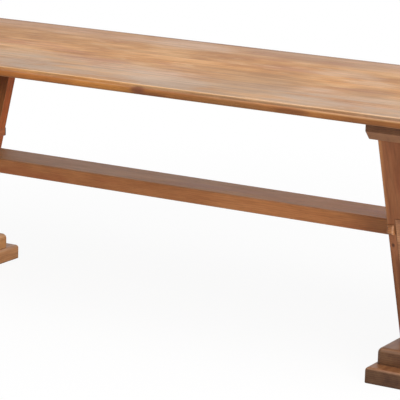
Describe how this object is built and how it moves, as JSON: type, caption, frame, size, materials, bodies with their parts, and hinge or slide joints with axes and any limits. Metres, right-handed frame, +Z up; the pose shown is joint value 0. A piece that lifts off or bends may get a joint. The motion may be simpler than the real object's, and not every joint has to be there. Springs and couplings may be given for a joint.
{
  "type": "trestle dining table",
  "caption": "Wooden trestle table: moulded board top on bevelled bearers, splayed V legs on stepped feet, cross rails tied by a flat stretcher.",
  "frame": {"origin": "on the floor under the middle of the table top", "axes": "+X along the length of the table, +Y across it toward the back edge, +Z up"},
  "size_m": [2.1, 0.792, 0.76],
  "materials": {
    "top_wood": "waxed, worn brown hardwood, grain along the table",
    "frame_wood": "waxed, darker brown hardwood, softly rounded edges",
    "joint_wood": "plain turned or planed hardwood",
    "screw_steel": "plain steel"
  },
  "bodies": {
    "root": {"top_board_1": "top_wood", "top_board_2": "top_wood", "top_board_3": "top_wood", "top_board_4": "top_wood", "top_board_5": "top_wood", "top_tongue_1": "joint_wood", "top_tongue_2": "joint_wood", "top_tongue_3": "joint_wood", "top_tongue_4": "joint_wood", "bearer_left": "frame_wood", "bearer_right": "frame_wood", "bearer_screws_left": "screw_steel", "bearer_screws_right": "screw_steel", "bearer_pegs_left": "joint_wood", "bearer_pegs_right": "joint_wood", "leg_front_left": "frame_wood", "leg_front_right": "frame_wood", "leg_back_left": "frame_wood", "leg_back_right": "frame_wood", "cross_rail_left": "frame_wood", "cross_rail_right": "frame_wood", "rail_pegs_left": "joint_wood", "rail_pegs_right": "joint_wood", "cross_batten_left": "frame_wood", "cross_batten_right": "frame_wood", "stretcher_pegs_left": "joint_wood", "stretcher_pegs_right": "joint_wood", "foot_upper_left": "frame_wood", "foot_upper_right": "frame_wood", "foot_pegs_left": "joint_wood", "foot_pegs_right": "joint_wood", "foot_lower_left": "frame_wood", "foot_lower_right": "frame_wood", "foot_dowels_left": "joint_wood", "foot_dowels_right": "joint_wood", "stretcher": "frame_wood"}
  },
  "joints": []
}
